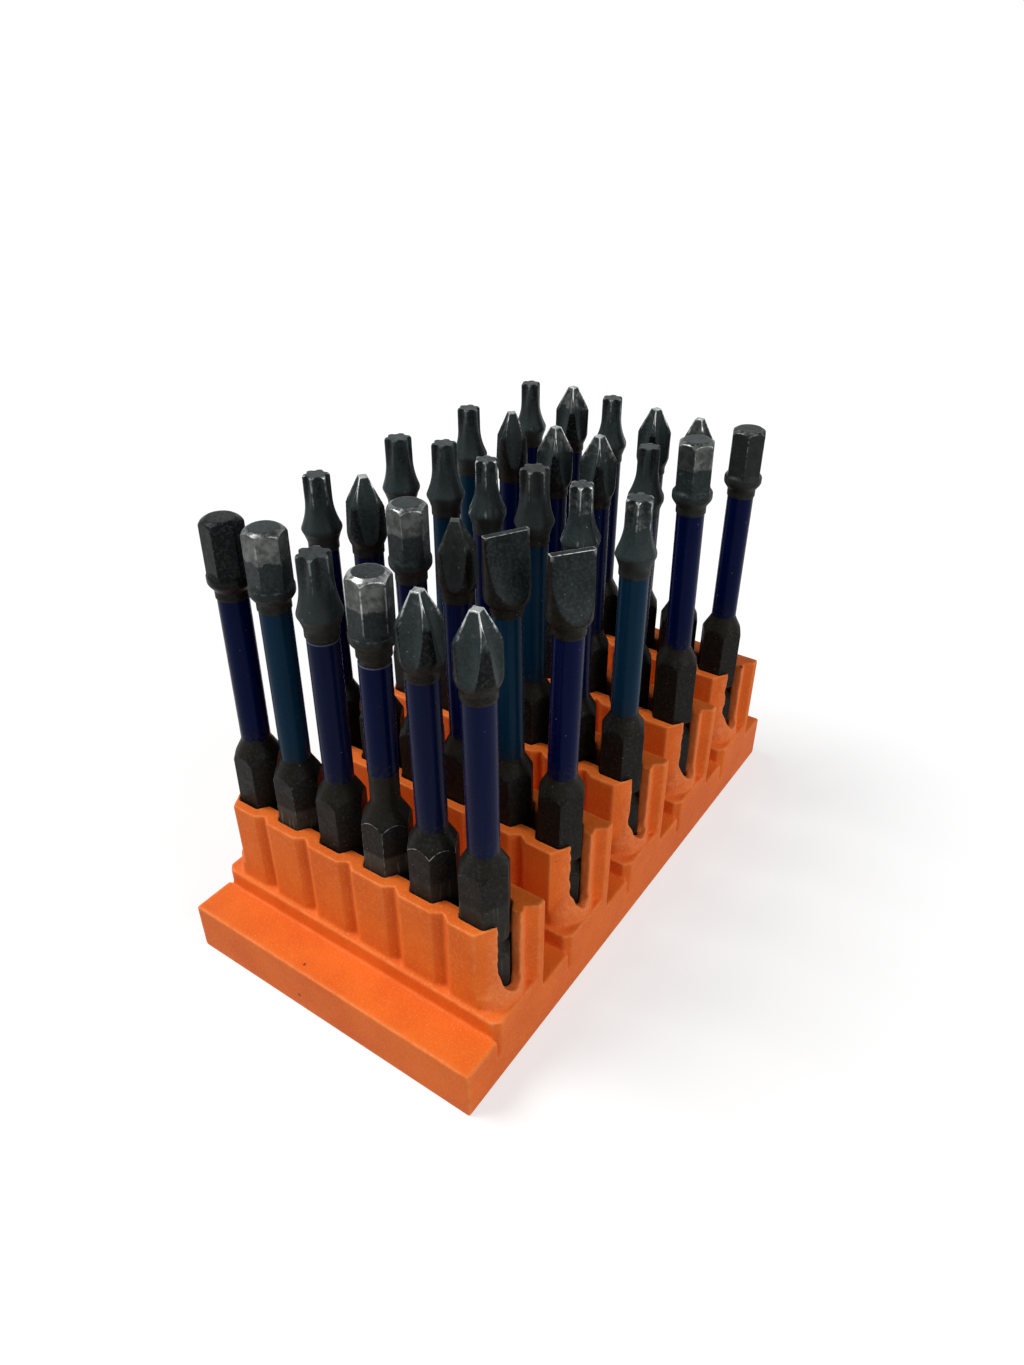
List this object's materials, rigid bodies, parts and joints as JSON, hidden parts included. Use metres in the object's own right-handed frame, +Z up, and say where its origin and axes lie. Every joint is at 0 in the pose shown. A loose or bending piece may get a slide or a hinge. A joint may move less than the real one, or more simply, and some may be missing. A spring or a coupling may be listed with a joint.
{
  "type": "bit organizer",
  "caption": "Stepped block with rows of hexagonal sockets joined by a slot, holding long driver bits with hex, star, cross and blade tips upright.",
  "frame": {"origin": "centre of the block's footprint, on the surface that it stands on", "axes": "+X to the right along a row, +Y from the front row to the back row, +Z up along the bits"},
  "size_m": [0.0528, 0.097, 0.0731],
  "materials": {
    "blade_bit": "blackened steel with a navy or teal band",
    "cross_bit": "blackened steel with a navy or teal band",
    "hex_bit": "blackened steel with a navy band, polished at the tip",
    "holder": "matte orange print with a fine grain",
    "star_bit": "blackened steel with a navy or teal band"
  },
  "bodies": {
    "root": {"blade_bit_row2_5": "blade_bit", "blade_bit_row2_6": "blade_bit", "cross_bit_row1_5": "cross_bit", "cross_bit_row1_6": "cross_bit", "cross_bit_row2_2": "cross_bit", "cross_bit_row2_4": "cross_bit", "cross_bit_row4_2": "cross_bit", "cross_bit_row4_3": "cross_bit", "cross_bit_row4_4": "cross_bit", "cross_bit_row5_2": "cross_bit", "cross_bit_row5_4": "cross_bit", "cross_bit_row5_5": "cross_bit", "hex_bit_row1_1": "hex_bit", "hex_bit_row1_2": "hex_bit", "hex_bit_row1_4": "hex_bit", "hex_bit_row2_3": "hex_bit", "hex_bit_row4_6": "hex_bit", "hex_bit_row5_6": "hex_bit", "holder": "holder", "star_bit_row1_3": "star_bit", "star_bit_row2_1": "star_bit", "star_bit_row3_1": "star_bit", "star_bit_row3_2": "star_bit", "star_bit_row3_3": "star_bit", "star_bit_row3_4": "star_bit", "star_bit_row3_5": "star_bit", "star_bit_row3_6": "star_bit", "star_bit_row4_1": "star_bit", "star_bit_row4_5": "star_bit", "star_bit_row5_1": "star_bit", "star_bit_row5_3": "star_bit"}
  },
  "joints": []
}
